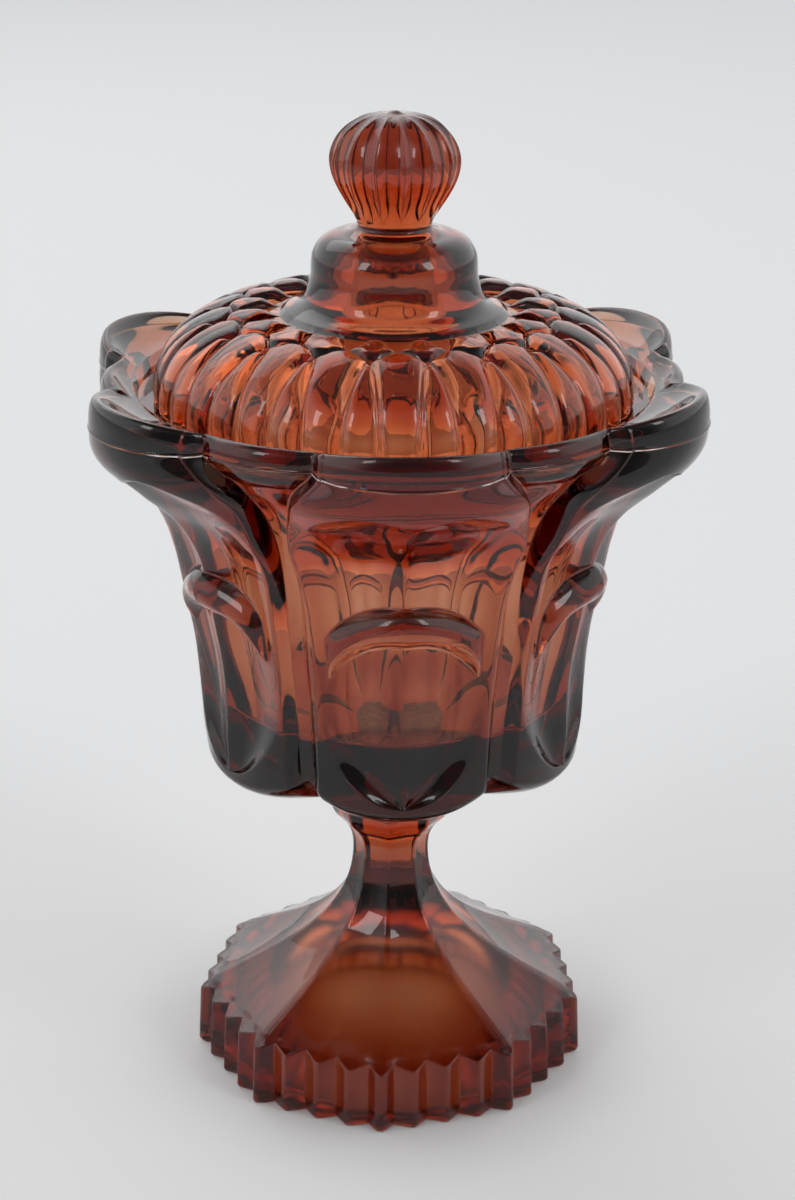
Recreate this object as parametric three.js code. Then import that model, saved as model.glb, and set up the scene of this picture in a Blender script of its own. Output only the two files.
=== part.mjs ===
// Covered compote dish in pressed amber glass: a nine-sided foot with a waisted stem,
// a six-petalled bowl, and a loose lid with a gadrooned dome and a ribbed knob.
// Millimetres, +Z up, front towards -Y, origin under the middle of the foot.

import * as THREE from 'three';

// Foot and stem
const footSides = 9;
const footTurn = THREE.MathUtils.degToRad(-6);
const teethPerSide = 4;
const footBottomRadius = 46.2;
const skirtDraft = 0.6;
const skirtHeight = 14.6;
const toothDepth = 2.6;
const toothTopRise = 1.1;
const skirtBottomRounding = 1;
const skirtTopRounding = 0.7;
const waistRadius = 8.9;
const flareRise = 35.2;
const stemTopRadius = 14.4;
const stemRise = 18.2;
const stemRounding = 0.5;
const footFaceHollow = 0.9;
const footRimWidth = 10.2;
const hollowHeight = 27;

// Bowl
const petalCount = 6;
const undersideRise = 10;
const wallRise = 82;
const petalRadius = 71.1;
const webInset = 8.9;
const petalCrestInset = 1.6;
const petalCrestRise = 6.6;
const webCrestInset = 11.1;
const webCrestRise = 3.9;
const mouthInset = 14.7;
const mouthRise = 1.9;
const mouthDraft = 0.5;
const ledgeDepth = 4;
const ledgeWidth = 7.4;
const tongueFluteDepth = 2.6;
const tongueMidribDrop = 0.6;
const tongueLobeDrop = 0.8;
const leafFluteDepth = 2.7;
const leafMidribDrop = 0.9;
const lipLobeDrop = 6;
const edgeDrop = 0.7;
const webSwell = 1.1;
const bandDepth = 3;
const bandBlend = 2.2;
const bottomCurl = 5;
const knuckleHalfHeight = 4.6;
const knuckleSwell = 4.4;
const knuckleNotch = 0.8;
const knuckleArch = 20;
const floorThickness = 16;
const floorDish = 7;

// Lid and knob
const lidClearance = 3.8;
const lidTurn = THREE.MathUtils.degToRad(-2);
const gadroonPairs = 20;
const gadroonDepth = 1.6;
const lidEdgeRounding = 1.2;
const lidWall = 4.6;
const domeSpringRise = 3.3;
const domeRise = 17.9;
const collarFootDrop = 1.2;
const collarRise = 18.9;
const collarRoof = 9.8;
const knobRidges = 14;
const knobTurn = THREE.MathUtils.degToRad(4.9);
const knobRadius = 13.95;
const knobLowerRise = 12.8;
const knobUpperRise = 9.7;
const knobFluteDepth = 1;
const nippleRadius = 1.6;
const nippleRise = 0.7;

// Sizes that follow from those above
const footTopRadius = footBottomRadius - skirtDraft;
const hollowRadius = footBottomRadius - footRimWidth;
const waistHeight = skirtHeight + flareRise;
const stemTopHeight = waistHeight + stemRise;
const bowlBottomHeight = stemTopHeight + undersideRise;
const bowlTopHeight = bowlBottomHeight + wallRise;
const webRadius = petalRadius - webInset;
const petalCrestRadius = petalRadius - petalCrestInset;
const petalCrestHeight = bowlTopHeight + petalCrestRise;
const webCrestRadius = petalRadius - webCrestInset;
const webCrestHeight = bowlTopHeight + webCrestRise;
const mouthRadius = petalRadius - mouthInset;
const mouthHeight = bowlTopHeight + mouthRise;
const ledgeOuterRadius = mouthRadius - mouthDraft;
const ledgeInnerRadius = ledgeOuterRadius - ledgeWidth;
const ledgeHeight = mouthHeight - ledgeDepth;
const bandHeight = bowlTopHeight - bandDepth;
const floorHeight = stemTopHeight + floorThickness;
const floorEdgeHeight = floorHeight + floorDish;
const lidRadius = ledgeOuterRadius - lidClearance;
const seatInnerRadius = lidRadius - lidWall;
const domeSpringHeight = ledgeHeight + domeSpringRise;
const domeTopHeight = domeSpringHeight + domeRise;
const collarFootHeight = domeTopHeight - collarFootDrop;
const neckHeight = collarFootHeight + collarRise;
const collarHollowHeight = neckHeight - collarRoof;
const knobMiddleHeight = neckHeight + knobLowerRise;
const knobTopHeight = knobMiddleHeight + knobUpperRise;
const nippleTopHeight = knobTopHeight + nippleRise;

const amber = { color: 0x8a3a1c, roughness: 0.08, metalness: 0 };
const fullTurn = 2 * Math.PI;
const quarterTurn = Math.PI / 2;
const narrowestShare = 0.04;

function point(radius, angle, height) {
  return new THREE.Vector3(radius * Math.sin(angle), -radius * Math.cos(angle), height);
}

function ring(count, start, place) {
  const points = [];
  for (let step = 0; step < count; step += 1) {
    const angle = start + (fullTurn * step) / count;
    points.push(place(angle, step));
  }
  return points;
}

function smooth(low, high, value) {
  const share = THREE.MathUtils.clamp((value - low) / (high - low), 0, 1);
  return share * share * (3 - 2 * share);
}

function mix(low, high, share) {
  return low + (high - low) * share;
}

// Points of an outline, given as shares of the way from one radius and height to another
function outline(start, end, shares) {
  return shares.map(([across, up]) => {
    return new THREE.Vector2(mix(start.x, end.x, across), mix(start.y, end.y, up));
  });
}

// Joins rings of points, from the middle of the underside, up and over, to the last middle.
// A ring of one point is an apex. A ring may have a whole number of times its neighbour's points.
function skin(rings) {
  const positions = [];
  const starts = [];
  for (const points of rings) {
    starts.push(positions.length / 3);
    for (const vertex of points) positions.push(vertex.x, vertex.y, vertex.z);
  }
  const indices = [];
  for (let level = 0; level + 1 < rings.length; level += 1) {
    const lower = rings[level].length;
    const upper = rings[level + 1].length;
    const most = Math.max(lower, upper);
    for (let step = 0; step < most; step += 1) {
      const next = step + 1;
      const a = starts[level] + (Math.floor((step * lower) / most) % lower);
      const b = starts[level] + (Math.floor((next * lower) / most) % lower);
      const c = starts[level + 1] + (Math.floor((next * upper) / most) % upper);
      const d = starts[level + 1] + (Math.floor((step * upper) / most) % upper);
      if (a !== b) indices.push(a, b, c);
      if (c !== d) indices.push(a, c, d);
    }
  }
  const geometry = new THREE.BufferGeometry();
  geometry.setAttribute('position', new THREE.Float32BufferAttribute(positions, 3));
  geometry.setIndex(indices);
  geometry.computeVertexNormals();
  return geometry;
}

function part(name, geometry) {
  const mesh = new THREE.Mesh(geometry, new THREE.MeshStandardMaterial(amber));
  mesh.name = name;
  return mesh;
}

// Foot: a polygon whose sides carry V teeth, with a ridge on every corner
const teeth = footSides * teethPerSide;
const sideAngle = fullTurn / footSides;
const facetSteps = 2;
const facetCount = footSides * facetSteps;

function polygonRadius(cornerRadius, angle) {
  const fromCorner = THREE.MathUtils.euclideanModulo(angle - footTurn, sideAngle);
  const fromMiddle = fromCorner - sideAngle / 2;
  return (cornerRadius * Math.cos(sideAngle / 2)) / Math.cos(fromMiddle);
}

function toothedRing(cornerRadius, height, depth, valleyRise) {
  const perSide = 2 * teethPerSide;
  return ring(2 * teeth, footTurn, (angle, step) => {
    const side = Math.floor(step / perSide);
    const along = (step % perSide) / perSide;
    const corner = point(cornerRadius, footTurn + side * sideAngle, height);
    const nextCorner = point(cornerRadius, footTurn + (side + 1) * sideAngle, height);
    const place = corner.lerp(nextCorner, along);
    if (step % 2 === 1) {
      const middle = footTurn + side * sideAngle + sideAngle / 2;
      place.sub(point(depth, middle, -valleyRise));
    }
    return place;
  });
}

function facetRing(cornerRadius, height) {
  return ring(facetCount, footTurn, (angle, step) => {
    const hollow = step % facetSteps === 0 ? 0 : footFaceHollow * (cornerRadius / footTopRadius);
    return point(polygonRadius(cornerRadius, angle) - hollow, angle, height);
  });
}

// The hollow under the foot, from its top down to a round opening in the flat base
const hollowPower = 1.2;

function hollowRings() {
  const steps = 6;
  const rings = [[point(0, 0, hollowHeight)]];
  for (let step = 1; step <= steps; step += 1) {
    const turn = (step / steps) * quarterTurn;
    const height = step === steps ? 0 : hollowHeight * Math.cos(turn) ** hollowPower;
    const radius = hollowRadius * Math.sin(turn);
    rings.push(ring(2 * facetCount, footTurn, (angle) => point(radius, angle, height)));
  }
  return rings;
}

function skirtRings() {
  return [
    toothedRing(footBottomRadius - skirtBottomRounding, 0, toothDepth, 0),
    toothedRing(footBottomRadius, skirtBottomRounding, toothDepth, 0),
    toothedRing(footTopRadius, skirtHeight - skirtTopRounding, toothDepth, toothTopRise),
    toothedRing(footTopRadius - skirtTopRounding, skirtHeight, toothDepth, toothTopRise),
  ];
}

// Curves of the flare and the stem: shares of the way across and up, for a start,
// two handles and an end
const flareShares = [[0, 0], [0.4, 0.24], [1, 0.42], [1, 1]];
const stemShares = [[0, 0], [0, 0.45], [1, 0.3], [1, 0.75]];

function facetRings(start, end, shares, steps) {
  const curve = new THREE.CubicBezierCurve(...outline(start, end, shares));
  const rings = [];
  for (let step = 1; step <= steps; step += 1) {
    const place = curve.getPoint(step / steps);
    rings.push(facetRing(place.x, place.y));
  }
  return rings;
}

function footGeometry() {
  const flareStart = new THREE.Vector2(footTopRadius, skirtHeight);
  const waist = new THREE.Vector2(waistRadius, waistHeight);
  const stemTop = new THREE.Vector2(stemTopRadius, stemTopHeight);
  return skin([
    ...hollowRings(),
    ...skirtRings(),
    ...facetRings(flareStart, waist, flareShares, 12),
    ...facetRings(waist, stemTop, stemShares, 8),
    facetRing(stemTopRadius, stemTopHeight - stemRounding),
    facetRing(stemTopRadius - stemRounding, stemTopHeight),
    [point(0, 0, stemTopHeight)],
  ]);
}

// Bowl: radii of a petal and of the web between petals, as shares of the petal's
// widest radius, at even heights from the bottom of the wall up to its top
const petalRadiusShares = [
  0.604, 0.613, 0.614, 0.617, 0.627, 0.645, 0.663, 0.683, 0.716, 0.779, 0.883, 0.972, 1,
];
const webRadiusShares = [
  0.568, 0.577, 0.587, 0.598, 0.613, 0.63, 0.643, 0.653, 0.67, 0.699, 0.748, 0.821, 0.875,
];

// At the same heights, half-angles of the petal's edge and of the rib inside it, as shares of
// half the angle from petal to petal. Petals meet low down and draw apart under the rim.
const edgeShares = [0.93, 0.93, 0.93, 0.93, 0.93, 0.93, 0.93, 0.93, 0.93, 0.925, 0.9, 0.81, 0.61];
const ribShares = [0.8, 0.8, 0.8, 0.8, 0.8, 0.8, 0.81, 0.82, 0.84, 0.84, 0.8, 0.7, 0.52];
const openShare = 0.8;
const petalAngle = fullTurn / petalCount;
const halfPetal = petalAngle / 2;

// Heights of the ornament, as shares of the wall
const tongueBottomShare = 0.012;
const tongueMiddleShare = 0.28;
const knuckleShare = 0.54;
const leafMiddleShare = 0.73;
const leafTopShare = 0.88;
const leafHeartShare = 0.042;

function wallHeight(share) {
  return bowlBottomHeight + wallRise * share;
}

function alongWall(shares, height) {
  const curve = new THREE.SplineCurve(shares.map((share) => new THREE.Vector2(share, 0)));
  return curve.getPoint(THREE.MathUtils.clamp((height - bowlBottomHeight) / wallRise, 0, 1)).x;
}

// How far the bottom edge curls up from the middle of a tongue to the web
const curlPower = 2.3;

function curl(across, level) {
  const places = [0, ribShares[0], edgeShares[0], 1];
  const zone = Math.min(Math.floor(across), 2);
  const share = mix(places[zone], places[zone + 1], across - zone);
  const fade = 1 - smooth(bowlBottomHeight, wallHeight(tongueMiddleShare), level);
  return bottomCurl * fade * share ** curlPower;
}

// How far the arched knuckle and the flutes drop towards the petal's edges
const archReachShare = 0.86;
const archFadeShare = 0.2;

function sag(fromMiddle, level) {
  const centre = wallHeight(knuckleShare);
  const low = smooth(wallHeight(knuckleShare - tongueMiddleShare), centre, level);
  const high = 1 - smooth(centre, wallHeight(knuckleShare + archFadeShare), level);
  const reach = Math.min(fromMiddle, archReachShare);
  return knuckleArch * (1 - Math.sqrt(1 - reach * reach)) * Math.min(low, high);
}

// The knuckle: an arched swelling, with a notch in its middle, that ends at the ribs
const notchWidthShare = 0.14;
const knucklePower = 0.8;

function knuckle(fromMiddle, level) {
  const offset = (level - wallHeight(knuckleShare)) / knuckleHalfHeight;
  const reach = fromMiddle / archReachShare;
  if (Math.abs(offset) >= 1 || reach >= 1) return 0;
  const notch = knuckleNotch * Math.exp(-((fromMiddle / notchWidthShare) ** 2));
  return (knuckleSwell * Math.sqrt(1 - reach ** 4) - notch) * (1 - offset * offset) ** knucklePower;
}

// How much of the petal's width the flutes take: all in the middle, closing in a round end
// at the tongue's bottom and in a flatter arch at the leaf's top
const spoonPower = 2;
const leafPower = 3;

function fluteOpening(fromMiddle, level) {
  const share = (level - bowlBottomHeight) / wallRise;
  const leafTop = leafTopShare + leafHeartShare * Math.sin(Math.PI * fromMiddle);
  const below = (tongueMiddleShare - share) / (tongueMiddleShare - tongueBottomShare);
  const above = (share - leafMiddleShare) / (leafTop - leafMiddleShare);
  const low = Math.max(1 - Math.max(below, 0) ** spoonPower, 0) ** (1 / spoonPower);
  const high = Math.max(1 - Math.max(above, 0) ** leafPower, 0) ** (1 / leafPower);
  return Math.min(low, high);
}

// Two flutes with a midrib between them, on the tongue below the knuckle and the leaf above
const flutePower = 1.25;
const fluteEndPower = 0.6;

function flute(fromMiddle, level) {
  const opening = fluteOpening(fromMiddle, level);
  if (fromMiddle >= opening) return 0;
  const centre = wallHeight(knuckleShare);
  const leafShare = smooth(centre - knuckleHalfHeight, centre + knuckleHalfHeight, level);
  const depth = mix(tongueFluteDepth, leafFluteDepth, leafShare);
  const drop = mix(tongueMidribDrop, leafMidribDrop, leafShare);
  const share = fromMiddle / Math.max(opening, narrowestShare);
  const wave = Math.sin(Math.PI * share) ** flutePower;
  const midrib = (1 + Math.cos(Math.PI * share)) / 2;
  return (depth * wave + drop * midrib) * opening ** fluteEndPower;
}

// How far a petal rounds off from its middle to its ribs
const lobePower = 2.2;

function lobeDrop(height) {
  const tongue = 1 - smooth(bowlBottomHeight, wallHeight(tongueMiddleShare), height);
  const lip = smooth(wallHeight(leafMiddleShare), wallHeight(leafTopShare), height);
  return tongueLobeDrop * tongue + lipLobeDrop * lip;
}

// A place on the outer wall. Across runs 0 to 1 from the petal's middle to the rib, 1 to 2
// from the rib to the petal's edge, and 2 to 3 from there to the middle of the web.
function wallPoint(index, side, across, level) {
  const fromMiddle = Math.min(across, 1);
  const height = level - sag(fromMiddle, level) + curl(across, level);
  const edge = alongWall(edgeShares, height);
  const rib = alongWall(ribShares, height);
  const bandStep = 1 - smooth(bandHeight - bandBlend, bandHeight, height);
  const webWall = petalRadius * alongWall(webRadiusShares, height) - bandStep * edgeDrop;
  const lobe = lobeDrop(height) * fromMiddle ** lobePower;
  const petalWall = petalRadius * alongWall(petalRadiusShares, height) - lobe;
  const open = smooth(edgeShares[0], openShare, edge);
  const edgeRadius = webWall - edgeDrop * open;
  let share = rib * across;
  let radius = petalWall + knuckle(fromMiddle, level) - flute(fromMiddle, level);
  if (across > 1) {
    const beyond = Math.min(across - 1, 1);
    share = mix(rib, edge, beyond);
    radius = mix(edgeRadius, petalWall, Math.cos(beyond * quarterTurn));
  }
  if (across > 2) {
    const beyond = across - 2;
    share = mix(edge, 1, beyond);
    radius = mix(edgeRadius, webWall + webSwell * open, Math.sin(beyond * quarterTurn));
  }
  return point(radius, index * petalAngle + side * share * halfPetal, height);
}

// Places across half a petal, from the middle of the web to just short of the petal's middle
const webMiddle = 3;
const acrossPlaces = [2.5, 2, 1.5, 1, 0.75, 0.5, 0.25];

function wallRing(level) {
  const points = [];
  for (let index = 0; index < petalCount; index += 1) {
    const left = [webMiddle, ...acrossPlaces, 0];
    const right = [...acrossPlaces].reverse();
    for (const across of left) points.push(wallPoint(index, -1, across, level));
    for (const across of right) points.push(wallPoint(index, 1, across, level));
  }
  return points;
}

// The wall's rings lie closest over the knuckle
function wallRings() {
  const low = wallHeight(knuckleShare) - knuckleHalfHeight;
  const high = wallHeight(knuckleShare) + knuckleHalfHeight;
  const stretches = [
    { from: bowlBottomHeight, to: low, steps: 6 },
    { from: low, to: high, steps: 3 },
    { from: high, to: bowlTopHeight, steps: 6 },
  ];
  const rings = [];
  for (const { from, to, steps } of stretches) {
    for (let step = 0; step < steps; step += 1) rings.push(wallRing(mix(from, to, step / steps)));
  }
  rings.push(wallRing(bowlTopHeight));
  return rings;
}

// Rings from a row of places to a matching row, bulging by way of two more
function bridge(from, fromHandle, toHandle, to, steps) {
  const rings = [];
  for (let step = 1; step < steps; step += 1) {
    rings.push(
      from.map((start, index) => {
        const curve = new THREE.CubicBezierCurve3(start, fromHandle[index], toHandle[index], to[index]);
        return curve.getPoint(step / steps);
      }),
    );
  }
  return rings;
}

// The same places at another radius and height, which may depend on their own
function moved(points, radiusOf, heightOf) {
  return points.map((place) => {
    const radius = Math.hypot(place.x, place.y);
    const angle = Math.atan2(place.x, -place.y);
    return point(radiusOf(radius), angle, heightOf(place.z, radius));
  });
}

// Under the bowl: handles as shares of the way out and up, below a tongue and below the web
const underLowOutShare = 0.55;
const underHighOutShare = 0.985;
const underLowUpShares = { tongue: 0.35, web: 0.4 };
const underHighUpShares = { tongue: 0.56, web: 0.86 };

function underside(bottomRow) {
  const curled = (height) => (height - bowlBottomHeight) / bottomCurl;
  const out = (share) => (radius) => mix(stemTopRadius, radius, share);
  const up = (shares) => (height) => {
    return mix(stemTopHeight, height, mix(shares.tongue, shares.web, curled(height)));
  };
  const start = moved(bottomRow, () => stemTopRadius, () => stemTopHeight);
  const low = moved(bottomRow, out(underLowOutShare), up(underLowUpShares));
  const high = moved(bottomRow, out(underHighOutShare), up(underHighUpShares));
  return [start, ...bridge(start, low, high, bottomRow, 5)];
}

// The rolled lip, over its crest and down to the mouth
const lipRiseShare = 0.7;
const lipTurnShare = 0.6;
const lipFallShare = 0.8;
const lipSettleShare = 0.6;

function lip(topRow) {
  const out = (radius) => THREE.MathUtils.clamp((radius - webRadius) / webInset, 0, 1);
  const crestRadius = (radius) => mix(webCrestRadius, petalCrestRadius, out(radius));
  const crestHeight = (height, radius) => mix(webCrestHeight, petalCrestHeight, out(radius));
  const risen = (height, radius) => mix(height, crestHeight(height, radius), lipRiseShare);
  const fromCrest = (share) => (radius) => mix(crestRadius(radius), radius, share);
  const fromMouth = (share) => (radius) => mix(mouthRadius, crestRadius(radius), share);
  const crest = moved(topRow, crestRadius, crestHeight);
  const rising = moved(topRow, (radius) => radius, risen);
  const turning = moved(topRow, fromCrest(lipTurnShare), crestHeight);
  const mouth = moved(topRow, () => mouthRadius, () => mouthHeight);
  const falling = moved(topRow, fromMouth(lipFallShare), crestHeight);
  const settling = moved(topRow, fromMouth(lipSettleShare), () => mouthHeight);
  const outer = bridge(topRow, rising, turning, crest, 3);
  const inner = bridge(crest, falling, settling, mouth, 2);
  return [...outer, crest, ...inner, mouth];
}

// Inside: the ledge for the lid, the wall down to the floor, and the shallow floor
const floorRadiusShare = 0.4923;
const insideShares = [[0, 0], [0.4, 0.2], [0.58, 0.42], [0.73, 0.7], [1, 1]];
const innerCount = petalCount * (acrossPlaces.length + 1);

function innerRing(radius, height) {
  return ring(innerCount, -halfPetal, (angle) => point(radius, angle, height));
}

function insideRings() {
  const floorRadius = petalRadius * floorRadiusShare;
  const rings = [innerRing(ledgeOuterRadius, ledgeHeight), innerRing(ledgeInnerRadius, ledgeHeight)];
  const ledge = new THREE.Vector2(ledgeInnerRadius, ledgeHeight);
  const floorEdge = new THREE.Vector2(floorRadius, floorEdgeHeight);
  const wall = new THREE.SplineCurve(outline(ledge, floorEdge, insideShares));
  const wallSteps = 6;
  for (let step = 1; step <= wallSteps; step += 1) {
    const place = wall.getPoint(step / wallSteps);
    rings.push(innerRing(place.x, place.y));
  }
  const floorSteps = 4;
  for (let step = 1; step < floorSteps; step += 1) {
    const share = 1 - step / floorSteps;
    rings.push(innerRing(floorRadius * share, mix(floorHeight, floorEdgeHeight, share * share)));
  }
  rings.push([point(0, 0, floorHeight)]);
  return rings;
}

function bowlGeometry() {
  const wall = wallRings();
  const bottomRow = wall[0];
  const topRow = wall[wall.length - 1];
  return skin([
    [point(0, 0, stemTopHeight)],
    ...underside(bottomRow),
    ...wall,
    ...lip(topRow),
    ...insideRings(),
  ]);
}

// Lid: wide and narrow gadroons in turn. The wide ones close into arches, the narrow ones
// are pinched out, and a ring of diamonds fills in between the arches and the collar.
const pinchShare = 0.7255;
const archShare = 0.641;
const diamondShare = 0.468;
const collarFootShare = 0.451;
const neckShare = 0.58;
const pinchRadius = lidRadius * pinchShare;
const archRadius = lidRadius * archShare;
const diamondRadius = lidRadius * diamondShare;
const collarFootRadius = lidRadius * collarFootShare;
const neckRadius = knobRadius * neckShare;
const pairAngle = fullTurn / gadroonPairs;
const halfPair = pairAngle / 2;
const domePower = 5;
const domeSquareness = 0.55;
const gadroonPower = 2.4;
const gadroonEdgeShare = 0.5;
const fromPinchPower = 0.65;
const archPower = 0.7;

function domeHeight(radius) {
  const share = Math.min(radius / lidRadius, 1);
  return domeSpringHeight + (domeTopHeight - domeSpringHeight) * (1 - share ** domePower) ** domeSquareness;
}

// Where the groove runs, as a share of the way from the middle of a wide gadroon
// to the middle of a narrow one
function grooveShare(radius) {
  const outer = THREE.MathUtils.clamp((radius - pinchRadius) / (lidRadius - pinchRadius), 0, 1);
  const arch = THREE.MathUtils.clamp((radius - archRadius) / (pinchRadius - archRadius), 0, 1);
  const diamond = THREE.MathUtils.clamp((archRadius - radius) / (archRadius - diamondRadius), 0, 1);
  if (radius >= pinchRadius) return 1 - (1 - gadroonEdgeShare) * outer ** fromPinchPower;
  return radius >= archRadius ? arch ** archPower : diamond;
}

// One ring of the dome. Swells is how high the wide and the narrow gadroons stand, 0 to 1.
function domeRing(radius, height, swells, inward, down) {
  const groove = THREE.MathUtils.clamp(grooveShare(radius), narrowestShare, 1 - narrowestShare);
  const halfRound = (1 - 0.5 ** gadroonPower) ** (1 / gadroonPower);
  const places = [
    [0, swells.wide],
    [groove / 2, swells.wide * halfRound],
    [groove, 0],
    [(1 + groove) / 2, swells.narrow * halfRound],
    [1, swells.narrow],
  ];
  const across = [...places, ...places.slice(1, -1).reverse().map(([share, rise]) => [2 - share, rise])];
  const points = [];
  for (let index = 0; index < gadroonPairs; index += 1) {
    for (const [share, rise] of across) {
      const sunk = gadroonDepth * (1 - rise);
      const angle = lidTurn + index * pairAngle + share * halfPair;
      points.push(point(radius - sunk * inward, angle, height - sunk * down));
    }
  }
  return points;
}

// A ring on the dome, where gadroons and diamonds rise and fade over shares of their length
const steepPower = 6;
const narrowFadeShare = 0.25;
const wideFadeShare = 0.5;
const diamondFadeShare = 0.6;
const diamondHoldShare = 0.3;

function domeRow(radius) {
  const steepness = (radius / lidRadius) ** steepPower;
  const beyondPinch = (radius - pinchRadius) / (lidRadius - pinchRadius);
  const beyondArch = (radius - archRadius) / (pinchRadius - archRadius);
  const beyondDiamond = (radius - diamondRadius) / (archRadius - diamondRadius);
  const diamondTop = 1 - smooth(diamondHoldShare, 1, beyondArch);
  const diamond = smooth(0, diamondFadeShare, beyondDiamond) * diamondTop;
  const narrow = Math.max(smooth(0, narrowFadeShare, beyondPinch), diamond);
  const swells = { wide: smooth(0, wideFadeShare, beyondArch), narrow };
  return domeRing(radius, domeHeight(radius), swells, steepness, 1 - steepness);
}

function domeRings() {
  const full = { wide: 1, narrow: 1 };
  const rings = [
    domeRing(lidRadius - lidEdgeRounding, ledgeHeight, full, 1, 0),
    domeRing(lidRadius, ledgeHeight + lidEdgeRounding, full, 1, 0),
  ];
  const outerSteps = 6;
  for (let step = 0; step < outerSteps; step += 1) {
    const turn = (step / outerSteps) * quarterTurn;
    rings.push(domeRow(mix(pinchRadius, lidRadius, Math.cos(turn))));
  }
  const betweenArches = (pinchRadius + archRadius) / 2;
  const betweenDiamonds = (archRadius + diamondRadius) / 2;
  const innerRadii = [pinchRadius, betweenArches, archRadius, betweenDiamonds, diamondRadius];
  for (const radius of innerRadii) rings.push(domeRow(radius));
  return rings;
}

// Outlines of the collar, from its foot to the neck, and of the hollow inside the lid,
// from the middle of its roof to the seat
const collarShares = [
  [0, 0], [0.24, 0.1], [0.35, 0.34], [0.37, 0.56], [0.4, 0.66],
  [0.49, 0.77], [0.64, 0.84], [0.85, 0.87], [1, 0.93], [1, 1],
];
const lidInsideShares = [
  [0, 0], [0.2, 0], [0.255, 0.1], [0.31, 0.32], [0.44, 0.42],
  [0.6, 0.45], [0.76, 0.52], [0.89, 0.63], [0.97, 0.78], [1, 1],
];
const collarCount = gadroonPairs * 2;

function collarRing(radius, height) {
  return ring(collarCount, lidTurn, (angle) => point(radius, angle, height));
}

function collarRings(start, end, shares, first, steps) {
  const curve = new THREE.SplineCurve(outline(start, end, shares));
  const rings = [];
  for (let step = first; step < steps; step += 1) {
    const place = curve.getPoint(step / steps);
    rings.push(collarRing(place.x, place.y));
  }
  rings.push(collarRing(end.x, end.y));
  return rings;
}

function lidGeometry() {
  const roof = new THREE.Vector2(0, collarHollowHeight);
  const seat = new THREE.Vector2(seatInnerRadius, ledgeHeight);
  const collarFoot = new THREE.Vector2(collarFootRadius, collarFootHeight);
  const neck = new THREE.Vector2(neckRadius, neckHeight);
  return skin([
    [point(0, 0, collarHollowHeight)],
    ...collarRings(roof, seat, lidInsideShares, 1, 9),
    ...domeRings(),
    ...collarRings(collarFoot, neck, collarShares, 0, 10),
    [point(0, 0, neckHeight)],
  ]);
}

// Knob: concave flutes between thin ridges, on a turned outline
const knobSteps = 4;
const knobCount = knobRidges * knobSteps;
const knobFlutePower = 0.6;
const knobShares = [[0, 0], [0.35, 0.3], [1, 0.6], [1, 1]];
const knobTopPowers = { radius: 0.9, height: 1.1, flute: 0.5 };

function knobRing(radius, height, depth) {
  return ring(knobCount, knobTurn, (angle, step) => {
    const across = (step % knobSteps) / knobSteps;
    return point(radius - depth * Math.sin(Math.PI * across) ** knobFlutePower, angle, height);
  });
}

function knobGeometry() {
  const neck = new THREE.Vector2(neckRadius, neckHeight);
  const middle = new THREE.Vector2(knobRadius, knobMiddleHeight);
  const below = new THREE.CubicBezierCurve(...outline(neck, middle, knobShares));
  const rings = [[point(0, 0, neckHeight)], knobRing(neckRadius, neckHeight, 0)];
  const belowSteps = 5;
  for (let step = 1; step <= belowSteps; step += 1) {
    const place = below.getPoint(step / belowSteps);
    rings.push(knobRing(place.x, place.y, knobFluteDepth));
  }
  const topSteps = 6;
  for (let step = 1; step < topSteps; step += 1) {
    const turn = (step / topSteps) * quarterTurn;
    const radius = mix(nippleRadius, knobRadius, Math.cos(turn) ** knobTopPowers.radius);
    const height = mix(knobMiddleHeight, knobTopHeight, Math.sin(turn) ** knobTopPowers.height);
    rings.push(knobRing(radius, height, knobFluteDepth * Math.cos(turn) ** knobTopPowers.flute));
  }
  rings.push(knobRing(nippleRadius, knobTopHeight, 0));
  rings.push([point(0, 0, nippleTopHeight)]);
  return skin(rings);
}

const compote = new THREE.Group();
compote.add(part('foot', footGeometry()));
compote.add(part('bowl', bowlGeometry()));
compote.add(part('lid', lidGeometry()));
compote.add(part('lid_knob', knobGeometry()));

export default compote;
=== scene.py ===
"""Covered compote dish in pressed amber glass, on a pale floor under soft light.

The glass is rebuilt as two whole pressings, the dish and the lid, from named sizes with
many more rings and columns than the solids have. The sizes are those of the solids, except
for the hollows of the foot and the lid, the knob's flutes and nib, and the depth of the
gadroons, which are set by how the light shows them. Sizes are in millimetres.
"""

import math

import bpy
import numpy as np
from mathutils import Matrix, Vector


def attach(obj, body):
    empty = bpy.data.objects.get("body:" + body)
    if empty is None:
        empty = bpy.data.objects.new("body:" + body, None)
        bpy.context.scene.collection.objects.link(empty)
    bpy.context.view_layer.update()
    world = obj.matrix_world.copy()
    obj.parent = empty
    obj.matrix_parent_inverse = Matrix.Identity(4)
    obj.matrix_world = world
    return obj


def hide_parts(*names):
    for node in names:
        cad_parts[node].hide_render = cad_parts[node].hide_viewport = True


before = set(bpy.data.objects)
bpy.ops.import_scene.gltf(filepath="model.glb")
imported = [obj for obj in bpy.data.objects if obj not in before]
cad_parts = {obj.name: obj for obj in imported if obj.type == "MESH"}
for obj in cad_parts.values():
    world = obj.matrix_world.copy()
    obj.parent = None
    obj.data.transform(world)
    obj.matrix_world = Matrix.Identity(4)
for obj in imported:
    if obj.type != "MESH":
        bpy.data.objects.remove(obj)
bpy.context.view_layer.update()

MM = 0.001
FULL_TURN = 2 * math.pi
QUARTER_TURN = math.pi / 2
NARROWEST_SHARE = 0.04

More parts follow.
